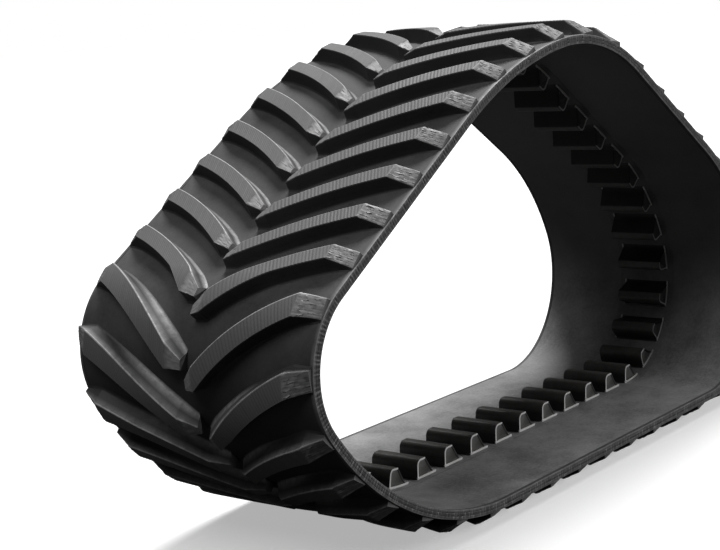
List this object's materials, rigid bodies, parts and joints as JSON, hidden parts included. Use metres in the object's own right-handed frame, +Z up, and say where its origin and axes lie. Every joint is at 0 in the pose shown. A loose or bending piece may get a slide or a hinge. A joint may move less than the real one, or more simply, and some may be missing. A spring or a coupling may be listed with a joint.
{
  "type": "rubber track",
  "caption": "Endless agricultural rubber track on a triangular loop, with staggered chevron tread bars outside and a centre row of drive lugs inside.",
  "frame": {"origin": "centre of the loop's footprint, on the ground plane under the tread bars", "axes": "+X along travel towards the rear corner, +Y across the belt to the right side, +Z up"},
  "size_m": [2.7732, 0.914, 1.5179],
  "materials": {
    "tread_rubber": "matt black rubber, fine moulding ribs on the bar tops",
    "cover_rubber": "matt dark grey rubber with a dusty bloom",
    "edge_rubber": "matt black rubber with fine cross ticks",
    "path_rubber": "smooth satin dark grey rubber",
    "guide_rubber": "smooth satin dark grey rubber",
    "drive_rubber": "hard semi-gloss black rubber",
    "steel_ply": "brass-coated steel cables in rubber",
    "cord_ply": "rubberised cord fabric"
  },
  "bodies": {
    "root": {"guide_strip_bottom": "guide_rubber", "guide_strip_rear": "guide_rubber", "guide_strip_top_rear": "guide_rubber", "guide_strip_top_front": "guide_rubber", "guide_strip_front": "guide_rubber", "wheel_path_left_bottom": "path_rubber", "wheel_path_left_rear": "path_rubber", "wheel_path_left_top_rear": "path_rubber", "wheel_path_left_top_front": "path_rubber", "wheel_path_left_front": "path_rubber", "wheel_path_right_bottom": "path_rubber", "wheel_path_right_rear": "path_rubber", "wheel_path_right_top_rear": "path_rubber", "wheel_path_right_top_front": "path_rubber", "wheel_path_right_front": "path_rubber", "main_cable_ply": "steel_ply", "bias_ply_inner": "cord_ply", "bias_ply_outer": "cord_ply", "transverse_ply": "cord_ply", "outer_cover_bottom": "cover_rubber", "outer_cover_rear": "cover_rubber", "outer_cover_top_rear": "cover_rubber", "outer_cover_top_front": "cover_rubber", "outer_cover_front": "cover_rubber", "edge_strip_left": "edge_rubber", "edge_strip_right": "edge_rubber", "drive_lugs_1": "drive_rubber", "drive_lugs_2": "drive_rubber", "drive_lugs_3": "drive_rubber", "drive_lugs_4": "drive_rubber", "drive_lugs_5": "drive_rubber", "drive_lugs_6": "drive_rubber", "drive_lugs_7": "drive_rubber", "tread_left_01": "tread_rubber", "tread_left_02": "tread_rubber", "tread_left_03": "tread_rubber", "tread_left_04": "tread_rubber", "tread_left_05": "tread_rubber", "tread_left_06": "tread_rubber", "tread_left_07": "tread_rubber", "tread_left_08": "tread_rubber", "tread_left_09": "tread_rubber", "tread_left_10": "tread_rubber", "tread_left_11": "tread_rubber", "tread_left_12": "tread_rubber", "tread_right_01": "tread_rubber", "tread_right_02": "tread_rubber", "tread_right_03": "tread_rubber", "tread_right_04": "tread_rubber", "tread_right_05": "tread_rubber", "tread_right_06": "tread_rubber", "tread_right_07": "tread_rubber", "tread_right_08": "tread_rubber", "tread_right_09": "tread_rubber", "tread_right_10": "tread_rubber", "tread_right_11": "tread_rubber", "tread_right_12": "tread_rubber"}
  },
  "joints": []
}
